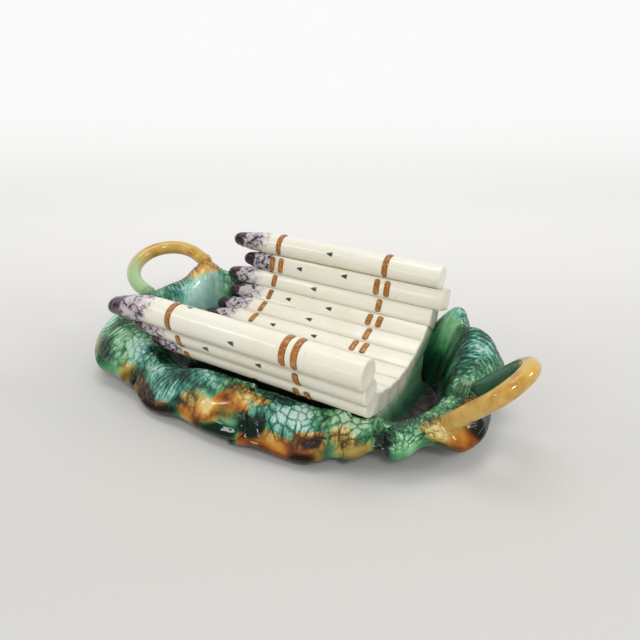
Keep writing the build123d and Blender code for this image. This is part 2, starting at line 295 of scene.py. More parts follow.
# Pale glaze where it breaks thin; the broad patch on the scroll at 162° is also a painted highlight,
# standing for the window reflection there.
PALE_GLAZE_AND_HIGHLIGHT = patches(
    (216, 15, 0.74, 0.34, 0.7), (200, 10, 0.74, 0.34, 1.0), (253, 12, 0.70, 0.30, 0.35),
    (246, 7, 0.57, 0.16, 0.9), (-28, 7, 0.69, 0.20, 0.5), (283, 8, 0.93, 0.10, 0.8),
    (243, 6, 0.72, 0.20, 0.8), (274.5, 4, 0.68, 0.14, 0.9), (288, 14, 0.62, 0.32, 1.15),
    (305, 11, 0.62, 0.36, 1.5), (308, 10, 0.94, 0.14, 0.8), (-21, 9, 0.82, 0.30, 1.3),
    (268, 5, 0.80, 0.12, 1.0), (272, 5, 0.68, 0.10, 0.8), (270, 3, 0.92, 0.06, 0.7),
    (262, 8, 0.54, 0.20, 0.9), (227, 11, 0.62, 0.28, 1.0), (40, 14, 0.26, 0.30, 0.5),
    (162, 30, 0.26, 0.40, 1.6), (182, 14, 0.50, 0.30, 0.7), (41, 12, 0.52, 0.30, 0.6),
    (19, 11, 0.62, 0.30, 0.7), (-33, 11, 0.84, 0.28, 0.8), (80, 30, 0.6, 0.3, 0.5),
    (120, 20, 0.6, 0.3, 0.5),
)
AQUA = patches(
    (252, 16, 0.65, 0.50, 1.2), (284, 14, 0.66, 0.40, 1.2), (165, 30, 0.30, 0.50, 1.2),
    (41, 14, 0.64, 0.32, 1.0), (19, 12, 0.55, 0.40, 0.8), (200, 11, 0.62, 0.45, 1.3),
    (232, 12, 0.60, 0.30, 0.8), (262, 9, 0.52, 0.30, 1.0),
)
# Dark brown and black glaze, and painted shade on the inner walls below the spears at 203°, 238° and 282°.
DARK_GLAZE_AND_SHADE = patches(
    (246, 4, 0.96, 0.16, 1.0), (254, 8, 1.00, 0.13, 1.4), (270, 4, 1.00, 0.10, 0.8),
    (276, 4, 0.87, 0.12, 1.3), (282, 8, 0.50, 0.13, 0.9), (265, 3, 0.66, 0.08, 0.5),
    (294, 5, 0.84, 0.09, 1.2), (291, 6, 0.99, 0.08, 0.8), (288, 12, 1.08, 0.12, 1.0),
    (318, 4, 0.98, 0.18, 1.4), (-3, 8, 0.96, 0.24, 1.6), (20, 12, 1.05, 0.12, 1.1),
    (40, 12, 1.05, 0.12, 1.1), (214, 8, 0.88, 0.16, 0.8), (232, 7, 0.90, 0.20, 0.45),
    (243, 4, 0.92, 0.12, 0.5), (258, 5, 0.87, 0.10, 0.6), (203, 14, 0.30, 0.20, 0.5),
    (238, 9, 0.42, 0.18, 0.4),
)
SMOOTH = patches(
    (-3, 10, 0.95, 0.30, 1.2), (277, 5, 0.87, 0.14, 1.0), (160, 22, 0.25, 0.35, 1.5),
    (36, 17, 0.24, 0.36, 1.5), (269, 7, 0.78, 0.24, 0.9), (273, 8, 0.95, 0.25, 1.2),
    (286, 16, 1.0, 0.16, 1.4), (-13, 11, 0.88, 0.35, 1.2), (231, 7, 0.92, 0.18, 1.2),
    (308, 9, 0.96, 0.16, 1.0),
)
FAN = patches(
    (252, 17, 0.62, 0.45, 1.2), (205, 20, 0.56, 0.50, 1.2), (19, 15, 0.62, 0.55, 1.3),
    (43, 12, 0.62, 0.50, 1.2), (173, 18, 0.50, 0.40, 1.2), (-28, 20, 0.45, 0.40, 0.8),
    (320, 8, 0.70, 0.40, 0.9),
)
NET = patches(
    (286, 13, 0.70, 0.36, 1.4), (306, 11, 0.60, 0.40, 1.4), (-35, 9, 0.70, 0.40, 0.7),
    (213, 10, 0.88, 0.16, 1.2), (262, 6, 0.88, 0.20, 1.0),
)
# Swellings and hollows pressed into the leaves, their strength in millimetres.
SWELLS = patches(
    (287, 10, 0.72, 0.32, 2.0), (305, 9, 0.58, 0.30, 2.0), (252, 11, 0.74, 0.34, 1.4),
    (214, 12, 0.80, 0.30, 1.4), (162, 19, 0.30, 0.34, 4.0), (18, 11, 0.60, 0.36, 3.0),
    (41, 10, 0.55, 0.32, 2.4), (265, 4, 0.88, 0.14, 1.0), (269, 4, 0.78, 0.14, 1.5),
    (273, 4, 0.66, 0.13, 1.5), (272, 4, 0.92, 0.10, -1.6), (277, 4, 0.85, 0.16, -3.2),
    (318, 4, 0.94, 0.20, -3.0), (231, 5, 0.80, 0.30, -1.6), (153, 8, 0.56, 0.20, 2.6),
    (168, 13, 0.43, 0.05, -2.2),
)


def hump(distance, spread):
    """A smooth hump, 1 in the middle and 0 from the spread outward."""
    distance = (distance + 180) % 360 - 180
    return np.where(np.abs(distance) < spread, np.cos(pi / 2 * distance / spread) ** 2, 0.0)


def power(value, exponent):
    return np.sign(value) * np.abs(value) ** exponent


def oval_point(angle):
    turn = np.radians(angle)
    x = well_half_length * power(np.cos(turn), 2 / oval_power)
    y = well_half_width * power(np.sin(turn), 2 / oval_power)
    return x, y + well_shift


def oval_normal(angle):
    turn = np.radians(angle)
    x = power(np.cos(turn), 2 - 2 / oval_power) / well_half_length
    y = power(np.sin(turn), 2 - 2 / oval_power) / well_half_width
    size = np.hypot(x, y)
    return x / size, y / size


def leaf_controls(angle, lift):
    """Control points of the upper side of the leaf section at each angle, (outward, height)."""
    across, along = np.sin(np.radians(angle)), np.cos(np.radians(angle))
    reach = leaf_reach - 3 * across
    crest = leaf_crest + 5 * across - 10 * along + lift
    rim = leaf_rim + 14 * across - 8 * along + lift
    for lobe in LOBES:
        share = hump(angle - lobe.angle, lobe.spread)
        reach = reach + lobe.reach * share
        crest = crest + lobe.crest * share
        rim = rim + lobe.rim * share
    flare = np.clip(1 - (crest - rim) / 30, 0, 1)
    lean = sum(item.share * hump(angle - item.angle, item.spread) for item in LEANS)
    out = [0 * reach, (0.02 + 0.12 * flare + lean) * reach, (0.33 + 0.18 * flare + lean) * reach,
           (0.79 + 0.13 * flare) * reach, reach]
    high = [0 * crest, 0.85 * crest, 1.6 * crest, (crest + rim) / 2 + 3, rim]
    return np.stack(out, -1), np.stack(high, -1) + floor_top


def under_controls(out, high):
    """Control points of the underside, a leaf thickness below the upper side."""
    low_out, low_high = out.copy(), high.copy()
    low_out[..., 0] = leaf_thickness
    for index in range(1, 5):
        after = min(index + 1, 4)
        run = out[..., after] - out[..., index - 1]
        rise = high[..., after] - high[..., index - 1]
        size = np.hypot(run, rise)
        depth = rim_thickness if index == 4 else leaf_thickness
        low_out[..., index] = out[..., index] + depth * rise / size
        low_high[..., index] = high[..., index] - depth * run / size
    return low_out, low_high


def bezier(controls, share):
    """Point on a Bezier curve whose control values are in the last direction of the array."""
    values = [controls[..., index] for index in range(controls.shape[-1])]
    while len(values) > 1:
        values = [first + share * (second - first) for first, second in zip(values, values[1:])]
    return values[0]


def leaf_point(angle, share):
    """Point on the upper side of the leaf ring, in millimetres."""
    out, high = leaf_controls(np.array(float(angle)), 0.0)
    x, y = oval_point(angle)
    out_x, out_y = oval_normal(angle)
    reach = bezier(out, share)
    return np.array([x + reach * out_x, y + reach * out_y, bezier(high, share)])


def scatter(column, row, seed):
    """A repeatable number from 0 to 1 for each square of a grid."""
    return np.modf(np.abs(np.sin(column * 12.9898 + row * 78.233 + seed * 37.719) * 43758.5453))[0]


def drift(x, y, seed):
    """Soft random hills from -1 to 1, one unit across."""
    column, row = np.floor(x), np.floor(y)
    part_x, part_y = x - column, y - row
    part_x = part_x * part_x * (3 - 2 * part_x)
    part_y = part_y * part_y * (3 - 2 * part_y)
    low = scatter(column, row, seed) * (1 - part_x) + scatter(column + 1, row, seed) * part_x
    high = scatter(column, row + 1, seed) * (1 - part_x) + scatter(column + 1, row + 1, seed) * part_x
    return 2 * (low * (1 - part_y) + high * part_y) - 1


def cell_gap(x, y, seed):
    """Distance from the nearest furrow between irregular cells that are one unit across."""
    column, row = np.floor(x), np.floor(y)
    first = np.full(x.shape, 9.0)
    second = np.full(x.shape, 9.0)
    for step_x in (-1, 0, 1):
        for step_y in (-1, 0, 1):
            near_x = column + step_x + 0.1 + 0.8 * scatter(column + step_x, row + step_y, seed)
            near_y = row + step_y + 0.1 + 0.8 * scatter(column + step_x, row + step_y, seed + 7)
            gap = np.hypot(x - near_x, y - near_y)
            second = np.minimum(second, np.maximum(first, gap))
            first = np.minimum(first, gap)
    return second - first


def patch_mask(table, angle, share):
    """How strongly a list of glaze patches covers each point, from 0 to 1."""
    mask = np.zeros(angle.shape)
    for patch in table:
        along = np.clip(np.abs(share - patch.share) / patch.depth, 0, 1)
        cover = hump(angle - patch.angle, patch.spread) * np.cos(pi / 2 * along) ** 2
        mask = np.maximum(mask, np.clip(patch.strength * 1.15 * cover, 0, 1))
    return mask


def add_object(name, data):
    """A new object of the scene, from a mesh, a curve, a lamp or a camera."""
    made = bpy.data.objects.new(name, data)
    bpy.context.scene.collection.objects.link(made)
    return made


def make_mesh(name, points, faces, marks, material):
    """A smooth-shaded piece from points in millimetres, with a named value on every point."""
    mesh = bpy.data.meshes.new(name)
    mesh.from_pydata([tuple(point) for point in points * MM], [], faces)
    for mark, values in marks.items():
        kept = mesh.attributes.new(mark, "FLOAT", "POINT")
        kept.data.foreach_set("value", np.asarray(values, np.float32).ravel())
    mesh.materials.append(material)
    mesh.shade_smooth()
    mesh.set_sharp_from_angle(angle=radians(50))
    return add_object(name, mesh)


def tube_faces(rows, columns):
    """Quads of a tube of rows of points, each row closed round, with a flat face at each end."""
    faces = []
    for row in range(rows - 1):
        for column in range(columns):
            beside = (column + 1) % columns
            faces.append((
                row * columns + column, row * columns + beside,
                (row + 1) * columns + beside, (row + 1) * columns + column,
            ))
    faces.append(tuple(reversed(range(columns))))
    faces.append(tuple(range((rows - 1) * columns, rows * columns)))
    return faces


def unit_rows(vectors):
    return vectors / np.maximum(np.linalg.norm(vectors, axis=-1, keepdims=True), 1e-9)


fine_angles = np.arange(-60.0, 320.0, 0.5)
fine_rim = np.array([leaf_point(angle, 0.75) for angle in fine_angles])
fine_run = np.concatenate([[0], np.cumsum(np.linalg.norm(np.diff(fine_rim, axis=0), axis=1))])

upper_shares = 1 - (1 - np.linspace(0, 1, upper_rows)) ** 1.15
lip_shares = np.linspace(0, 1, lip_rows + 2)[1:-1]
under_shares = np.linspace(1, 0, under_rows)
loop_share = np.concatenate([upper_shares, np.ones(lip_rows), under_shares])
loop_row = np.arange(len(loop_share))
is_upper = loop_row < upper_rows
is_under = loop_row >= upper_rows + lip_rows
is_lip = ~(is_upper | is_under)


def leaf_piece(name, start, end, seed, material):
    """One leaf: its section from floor to rim and back underneath, carried round the dish."""
    rows = int((end - start) / row_step)
    turn = np.linspace(0, 1, rows)[:, None]
    share = np.broadcast_to(loop_share, (rows, len(loop_share)))
    wave = np.sin(share * 9 + seed) + 0.6 * np.sin(share * 21 + 2 * seed)
    tongue = tongue_length * (1 + 0.45 * wave) * np.clip(share * 3 - 0.6, 0, 1)
    angle = start + (end + tongue - start) * turn
    lift = leaf_overlap * (np.clip((angle - start) / (end - start), 0, 1) - 0.5)
    out, high = leaf_controls(angle, lift)
    low_out, low_high = under_controls(out, high)
    tip_out, tip_high = out[..., 4] - out[..., 3], high[..., 4] - high[..., 3]
    size = np.hypot(tip_out, tip_high) / (0.66 * rim_thickness)
    ahead_out, ahead_high = tip_out / size, tip_high / size
    top_out, top_high = out[..., 4], high[..., 4]
    base_out, base_high = low_out[..., 4], low_high[..., 4]
    lip_out = [top_out, top_out + ahead_out, base_out + ahead_out, base_out]
    lip_high = [top_high, top_high + ahead_high, base_high + ahead_high, base_high]
    lip_share = np.zeros(len(loop_share))
    lip_share[is_lip] = lip_shares
    reach = np.where(is_upper, bezier(out, share), bezier(low_out, share))
    height = np.where(is_upper, bezier(high, share), bezier(low_high, share))
    reach = np.where(is_lip, bezier(np.stack(lip_out, -1), lip_share), reach)
    height = np.where(is_lip, bezier(np.stack(lip_high, -1), lip_share), height)
    run = np.interp(angle, fine_angles, fine_run)
    from_start = run - np.interp(start, fine_angles, fine_run)
    corner = np.clip(1 - from_start / corner_round, 0, 1)
    cut_back = 0.8 * corner_round * (1 - np.sqrt(1 - corner ** 2)) * np.clip(share * 4 - 3, 0, 1)
    reach = reach - skin_inset * share - cut_back
    x, y = oval_point(angle)
    out_x, out_y = oval_normal(angle)
    points = np.stack([x + reach * out_x, y + reach * out_y, height], -1)

    around = np.gradient(points, axis=0)
    up = (np.roll(points, -1, axis=1) - np.roll(points, 1, axis=1)) / 2
    normal = unit_rows(np.cross(around, up))
    middle = points.mean(axis=1, keepdims=True)
    if np.sum(normal * (points - middle)) < 0:
        normal = -normal

    rise = share * leaf_run
    bend_x = run + 2.4 * drift(run / 11, rise / 11, seed + 3)
    bend_y = rise + 2.4 * drift(run / 11, rise / 11, seed + 5)
    coarse = cell_gap(bend_x / cell_size, bend_y / (1.3 * cell_size), seed)
    fine = cell_gap(bend_x / (0.40 * cell_size), bend_y / (0.52 * cell_size), seed + 11)
    ribs = (bend_x + 0.35 * bend_y) / rib_spacing
    rib_strength = 0.5 + 0.5 * scatter(np.floor(ribs), 0 * ribs, seed)
    rib = rib_strength * np.sqrt(np.maximum(1 - np.abs(2 * (ribs - np.floor(ribs)) - 1), 0))
    smooth = patch_mask(SMOOTH, angle, share)
    to_rim = np.where(is_upper, np.clip((0.98 - share) / 0.12, 0, 1), np.where(is_lip, 0.0, 1.0))
    veined = np.clip(share * 5 - 0.7, 0, 1) * (1 - smooth) * to_rim
    fan = patch_mask(FAN, angle, share) * veined
    net = veined - fan
    pillow = np.minimum(coarse * 2.2, 1)
    pebble = np.minimum(fine * 2.2, 1)
    relief = net * (0.75 * pillow + 0.22 * pebble - 0.9) + fan * (0.85 * rib + 0.2 * pebble - 0.9)
    scroll = hump(angle - scroll_angle, 36) * np.clip(2.4 - 4 * share, 0, 1)
    above_floor = np.clip(share * 4 - 0.4, 0, 1)
    relief += (0.25 + 0.30 * smooth) * (1 - scroll) * above_floor * drift(run / 7, rise / 10, seed + 21)
    swell = sum(
        patch.strength * hump(angle - patch.angle, patch.spread)
        * np.cos(pi / 2 * np.clip((share - patch.share) / patch.depth, -1, 1)) ** 2
        for patch in SWELLS
    )
    to_end = np.interp(end + tongue, fine_angles, fine_run) - run
    roll = np.clip(fold_radius - to_end, 0, fold_radius)
    fold = fold_radius - np.sqrt(np.maximum(fold_radius ** 2 - roll ** 2, 0))
    fold = fold * np.clip(share * 4 - 0.5, 0, 1)
    strength = np.where(is_upper, np.clip((1 - share) * 14, 0.25, 1), np.where(is_lip, 0.25, 0.35))
    pressed = np.where(is_upper, relief + swell - fold, np.minimum(relief - fold, 0)) * strength
    pressed = np.where(share > 0.93, np.minimum(pressed, 0), pressed)
    pressed = np.where(is_under & (share < 0.1), 0, pressed)
    points = points + normal * pressed[..., None]

    stray = angle + 1.4 * drift(run / 12, rise / 12, 31)
    level = share + 0.04 * drift(run / 12, rise / 12, 35)
    # Painted shade: the start of each leaf under the overlap of the leaf before, the low wall down into
    # the well, the lower half of the rolled lip and the underside are darkened; on the underside the glaze
    # patches also thin out.
    tuck_shade = np.exp(-np.maximum(from_start - 1.5, 0) / 2.2) * np.clip(share * 4, 0, 1)
    foot_shade = np.clip(1.25 - share / 0.30, 0, 1) * (1 - 0.85 * hump(angle - scroll_angle, 34))
    underside_and_shade = np.where(is_under, np.clip((1 - share) * 6, 0, 1), 0.0)
    lip_shade = np.where(is_lip, 0.25 + 0.5 * lip_share, 0.0)
    drawn = 0.25 + 0.75 * patch_mask(NET, angle, share)
    tone = 0.50 + net * (0.24 * pillow - 0.14) + fan * (0.46 * rib - 0.26)
    shading = 0.20 * drift(run / 15, rise / 15, 51) + 0.10 * drift(run / 6, rise / 9, 53)
    tone += shading * (1 - 0.8 * scroll)
    # Dark glaze with painted shade below the spears, and pale glaze with a painted highlight on the
    # scroll.
    tone += 0.30 * patch_mask(PALE_GLAZE_AND_HIGHLIGHT, stray, level) - 0.60 * patch_mask(DARK_GLAZE_AND_SHADE, stray, level)
    # Painted shade taken off the tone, and darker towards the rim.
    tone -= 0.40 * foot_shade + 0.30 * tuck_shade + 0.20 * underside_and_shade + 0.12 * lip_shade
    tone -= 0.08 * np.clip((share - 0.86) / 0.14, 0, 1)
    marks = {
        "tone": np.clip(tone, 0, 1),
        "amber": patch_mask(AMBER, stray, level) * (1 - 0.6 * underside_and_shade),
        "ochre": patch_mask(OCHRE, stray, level) * (1 - underside_and_shade),
        "aqua": patch_mask(AQUA, stray, level),
        "vein": net * drawn * np.exp(-(coarse / 0.10) ** 2) * (1 - underside_and_shade),
        "wrinkle": veined * (1 - 0.7 * underside_and_shade),
        "fan": fan * (1 - underside_and_shade),
        "along": run / 10,
        "up": rise / 10,
    }
    faces = tube_faces(rows, len(loop_share))
    piece = make_mesh(name + "_glazed", points.reshape(-1, 3), faces, marks, material)
    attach(piece, "root")
    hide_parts(name)
    return piece


TEAL_GLAZE = [
    (0.0, (0.002, 0.016, 0.010, 1)),
    (0.25, (0.008, 0.070, 0.046, 1)),
    (0.50, (0.042, 0.235, 0.170, 1)),
    (0.72, (0.150, 0.440, 0.350, 1)),
    (0.90, (0.360, 0.640, 0.550, 1)),
    (1.0, (0.540, 0.770, 0.690, 1)),
]
GREEN_GLAZE = [
    (0.0, (0.002, 0.014, 0.006, 1)),
    (0.25, (0.009, 0.060, 0.024, 1)),
    (0.50, (0.045, 0.205, 0.080, 1)),
    (0.72, (0.160, 0.400, 0.180, 1)),
    (0.90, (0.330, 0.580, 0.330, 1)),
    (1.0, (0.490, 0.700, 0.460, 1)),
]
AMBER_GLAZE = [
    (0.0, (0.014, 0.004, 0.001, 1)),
    (0.25, (0.075, 0.022, 0.004, 1)),
    (0.48, (0.250, 0.070, 0.009, 1)),
    (0.68, (0.480, 0.190, 0.024, 1)),
    (0.90, (0.640, 0.360, 0.075, 1)),
    (1.0, (0.780, 0.580, 0.240, 1)),
]
OCHRE_GLAZE = [
    (0.0, (0.009, 0.006, 0.001, 1)),
    (0.25, (0.060, 0.034, 0.005, 1)),
    (0.48, (0.240, 0.150, 0.024, 1)),
    (0.68, (0.440, 0.310, 0.065, 1)),
    (0.90, (0.620, 0.500, 0.180, 1)),
    (1.0, (0.760, 0.680, 0.380, 1)),
]
vein_green = (0.004, 0.036, 0.022, 1)
vein_brown = (0.040, 0.016, 0.004, 1)
leaf_glaze, leaf_shader, wire = new_glaze("leaf glaze", 0.05)
broad = wire.cloud(38, 3.0)
small = wire.cloud(150, 4.0, 0.6)
along = wire.attribute("along")
up = wire.attribute("up")
place = wire.vector(along * 4.6, up * 1.1, 0.0)
streak = wire.node(
    "ShaderNodeTexNoise",
    {"Vector": place, "Scale": 1.0, "Detail": 5.0, "Roughness": 0.6, "Distortion": 0.9},
)
thread = (streak - 0.5).at_least(0.5 - streak).step(0.05, 0.0)
place = wire.vector(along + 0.25 * small, 0.8 * up + 0.25 * broad, 0.0)
crack = wire.node("ShaderNodeTexVoronoi", {"Vector": place, "Scale": 2.6}, feature="DISTANCE_TO_EDGE")
wrinkle = wire.attribute("wrinkle")
fan = wire.attribute("fan")
mesh_crack = crack.step(0.0, 0.13) * (1.0 - 0.7 * fan)
pressed = wrinkle * (0.5 * mesh_crack + 0.7 * streak - (0.25 + 0.4 * fan) * thread)
tone = wire.attribute("tone") + 0.22 * (small - 0.5)
tone = tone + wrinkle * (0.75 * (streak - 0.5) + 0.14 * mesh_crack - 0.10)
tone = tone - wrinkle * (0.12 + 0.22 * fan) * thread
tone = 1.4 * tone - 0.17
aqua = (0.7 * wire.attribute("aqua") + 0.9 * broad).step(0.40, 1.0)
amber = wire.attribute("amber") + 0.5 * (small - 0.5) + 0.15 * (streak - 0.5)
ochre = wire.attribute("ochre") + 0.5 * (small - 0.5) + 0.25 * (streak - 0.5)
ochre = ochre.at_least(0.8 * amber.step(0.0, 0.3))
vein = wire.attribute("vein") * (0.2 + 1.3 * small)
leaf_colour = wire.coats(
    tone.ramp(GREEN_GLAZE),
    (aqua, tone.ramp(TEAL_GLAZE)),
    (ochre.step(0.10, 0.75), tone.ramp(OCHRE_GLAZE)),
    (amber.step(0.25, 0.75), tone.ramp(AMBER_GLAZE)),
    (vein.at_most(0.9), wire.coats(vein_green, (amber.at_least(ochre).step(0.2, 0.8), vein_brown))),
)
ripple = (0.04 + 0.26 * wrinkle) * wire.cloud(240)
finish_glaze(leaf_shader, wire, leaf_colour, pressed + ripple, 0.0009)

for number, (leaf_name, leaf_start) in enumerate(LEAVES):
    leaf_end = LEAVES[number + 1][1] if number + 1 < len(LEAVES) else LEAVES[0][1] + 360
    leaf_piece(leaf_name, leaf_start, leaf_end, 2 * number + 1, leaf_glaze)


# Stem handles: two ropes of clay rolled round, bent to a loop and luted to the leaves with slip, which
# leaves a raised collar. Each is amber where it was brushed first and runs into green on one limb.

handle_radius = 6.4
root_depth = 4.0
collar_height = 0.10
Handle = namedtuple("Handle", "node roots share throw rise collar")
HANDLES = [
    Handle("right_handle", (-15, 5), 0.69, 40.5, 43.0, 9.0),
    Handle("left_handle", (155, 187), 0.62, 45.5, 15.0, 6.0),
]


def handle_path(handle):
    """Points along the middle of a handle, in metres: a leg, half a circle and the other leg."""
    roots = [leaf_point(angle, handle.share) for angle in handle.roots]
    half_span = (roots[0] - roots[1]) / 2
    out = np.array([-half_span[1], half_span[0], 0])
    out = out / np.linalg.norm(out) * handle.throw + np.array([0, 0, handle.rise])
    out -= half_span * np.dot(out, half_span) / np.dot(half_span, half_span)
    along = out / np.linalg.norm(out)
    leg = np.linalg.norm(out) - np.linalg.norm(half_span)
    centre = (roots[0] + roots[1]) / 2 + along * leg
    path = [roots[0] + along * reach for reach in np.linspace(-root_depth, leg, 40)]
    for turn in np.linspace(0, pi, 49)[1:-1]:
        path.append(centre + half_span * cos(turn) + along * np.linalg.norm(half_span) * sin(turn))
    path += [roots[1] + along * reach for reach in np.linspace(leg, -root_depth, 40)]
    return np.array(path) * MM


def new_tree(name, sizes):
    """A geometry tree with named sizes and a material as inputs, a wire to start from, its inputs."""
    tree = bpy.data.node_groups.new(name, "GeometryNodeTree")
    inputs = [("Geometry", "NodeSocketGeometry")]
    inputs += [(size, "NodeSocketFloat") for size in sizes]
    inputs += [("Material", "NodeSocketMaterial")]
    for label, kind in inputs:
        tree.interface.new_socket(label, in_out="INPUT", socket_type=kind)
    tree.interface.new_socket("Geometry", in_out="OUTPUT", socket_type="NodeSocketGeometry")
    entry = tree.nodes.new("NodeGroupInput")
    given = {socket.name: Wire(tree, socket) for socket in entry.outputs}
    return tree, Wire(tree), given


def end_tree(wire, shape, material):
    """Ends a geometry tree: the shape made real and given its material."""
    whole = wire.node("GeometryNodeRealizeInstances", {"Geometry": shape})
    dressed = wire.node("GeometryNodeSetMaterial", {"Geometry": whole, "Material": material})
    leave = wire.tree.nodes.new("NodeGroupOutput")
    wire.tree.links.new(dressed.socket, leave.inputs["Geometry"])


def stem_tree():
    """Nodes that sweep a round section along a handle's line, with a collar near each end."""
    tree, wire, given = new_tree("stem handle", ["Radius", "Collar place", "Collar height"])
    run = wire.node("GeometryNodeSplineParameter", output="Factor")
    length = wire.node("GeometryNodeSplineParameter", output="Length")
    whole = wire.node("GeometryNodeSplineLength", output="Length")
    near_end = length.at_most(whole - length)
    offset = (near_end - given["Collar place"]) * 1100.0
    ring = 1.0 + given["Collar height"] * offset.bell()
    # Painted shade: a dark band beside each collar, on the side towards the middle of the handle.
    collar_shade = (offset - 1.9).bell(2.0)
    place = wire.node("GeometryNodeInputPosition")
    lumps = wire.node("ShaderNodeTexNoise", {"Vector": place, "Scale": 60.0, "Detail": 1.0})
    marked = wire.store(wire.store(given["Geometry"], "run", run), "collar_shade", collar_shade)
    blunt = (near_end * 220.0).at_most(1.0).at_least(0.02)
    blunt = (blunt * (2.0 - blunt)) ** 0.5
    circle = wire.node("GeometryNodeCurvePrimitiveCircle", {"Resolution": 40, "Radius": given["Radius"]})
    stem = wire.tube(marked, circle, ring * blunt * (0.98 + 0.02 * lumps))
    end_tree(wire, stem, given["Material"])
    return tree


def grow(source, name, tree, values):
    """Runs a node tree on an object and returns the result as a plain mesh piece."""
    modifier = source.modifiers.new("grow", "NODES")
    modifier.node_group = tree
    for item in tree.interface.items_tree:
        if item.in_out == "INPUT" and item.name in values:
            modifier[item.identifier] = values[item.name]
    view = bpy.context.evaluated_depsgraph_get()
    mesh = bpy.data.meshes.new_from_object(source.evaluated_get(view))
    mesh.name = name
    data = source.data
    bpy.data.objects.remove(source)
    (bpy.data.curves if isinstance(data, bpy.types.Curve) else bpy.data.meshes).remove(data)
    return add_object(name, mesh)


honey = (0.63, 0.41, 0.10, 1)
honey_dark = (0.45, 0.21, 0.028, 1)
stem_green = (0.36, 0.53, 0.28, 1)
stem_dark = (0.035, 0.11, 0.06, 1)
HANDLE_GREEN = {"right_handle": (0.55, 0.68, stem_dark), "left_handle": (0.44, 0.80, stem_green)}
handle_tree = stem_tree()
for handle in HANDLES:
    glaze, shader, wire = new_glaze(handle.node.replace("_", " ") + " glaze", 0.08)
    run = wire.attribute("run")
    streak = wire.cloud(90, 3.0)
    from_run, to_run, green_limb = HANDLE_GREEN[handle.node]
    stem_colour = wire.coats(
        honey,
        (streak.step(0.35, 0.75), honey_dark),
        ((run + 0.2 * streak - 0.1).step(from_run, to_run), green_limb),
        (run.step(0.9, 1.0) * 0.6, stem_dark),
        # Painted shade beside the collar.
        (wire.attribute("collar_shade") * 0.5, stem_dark),
    )
    finish_glaze(shader, wire, stem_colour, wire.cloud(100), 0.00008)
    line = bpy.data.curves.new(handle.node + "_line", "CURVE")
    line.dimensions = "3D"
    path = handle_path(handle)
    spline = line.splines.new("POLY")
    spline.points.add(len(path) - 1)
    spline.points.foreach_set("co", np.column_stack([path, np.ones(len(path))]).ravel())
    source = add_object(handle.node + "_line", line)
    piece = grow(source, handle.node + "_glazed", handle_tree, {
        "Radius": handle_radius * MM, "Collar place": handle.collar * MM,
        "Collar height": collar_height, "Material": glaze,
    })
    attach(piece, "root")
    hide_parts(handle.node)


# Stalk stump: the cut end of a leaf stalk, a short ribbed cone of clay luted beside the far root of
# the right handle.

stump_radius = 5.5
stump_length = 15.0
stump_ribs = 9
stump_root = leaf_point(1, 0.5) - np.array([0, 0, 6])
stump_way = np.array([0.2, 0, 0.98]) / hypot(0.2, 0.98)
stump_side = np.array([0, 1, 0])
stump_front = np.cross(stump_side, stump_way)
stump_rows = np.concatenate([np.linspace(0, 0.93, 26), [0.96, 0.985, 1.0, 1.0, 0.99]])
stump_sizes = np.concatenate([1 - 0.2 * np.linspace(0, 0.93, 26), [0.80, 0.76, 0.70, 0.4, 0.05]])
theta = np.linspace(0, 2 * pi, 72, endpoint=False)
ribs = 1 - 0.07 * (0.5 + 0.5 * np.cos(stump_ribs * theta)) ** 2
rings = 1 - 0.05 * np.exp(-((stump_rows[:, None] - np.array([0.62, 0.74, 0.86])) / 0.02) ** 2).sum(axis=1)
radius = stump_radius * stump_sizes[:, None] * ribs * rings[:, None]
stump_green = (0.10, 0.24, 0.12, 1)
stump_pale = (0.26, 0.40, 0.22, 1)
stump_points = (
    stump_root + stump_rows[:, None, None] * stump_length * stump_way
    + radius[..., None] * (np.cos(theta)[:, None] * stump_front + np.sin(theta)[:, None] * stump_side)
)
stump_glaze, shader, wire = new_glaze("stump glaze", 0.10)
stump_colour = wire.coats(
    stump_green,
    (wire.cloud(150).step(0.4, 0.7), stump_pale),
    (wire.attribute("rib"), stem_dark),
)
finish_glaze(shader, wire, stump_colour, wire.cloud(400), 0.0004)
stump_marks = {"rib": np.broadcast_to((1 - ribs) / 0.07, radius.shape)}
stump = make_mesh(
    "stalk_stump_glazed", stump_points.reshape(-1, 3), tube_faces(len(stump_rows), len(theta)),
    stump_marks, stump_glaze,
)
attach(stump, "root")
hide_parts("stalk_stump")


# Cradle base: the block under the spears, pressed in one mould with them, flared at the foot. Cream
# glaze at the top runs into green towards the floor.

green_from = 0.032
green_full = 0.018
base_cream = (0.74, 0.72, 0.58, 1)
base_green = (0.15, 0.34, 0.18, 1)
base_shade_green = (0.012, 0.045, 0.028, 1)
base_shadow = (0.035, 0.018, 0.012, 1)


def back_rise(wire):
    """How much higher the green reaches towards the back of the cradle."""
    return 0.55 * (wire.place("Y") - 0.008).at_least(0.0)


base_glaze, shader, wire = new_glaze("cradle base glaze", 0.10)
height = wire.place("Z") + 0.006 * (wire.cloud(60, 3.0) - 0.5)
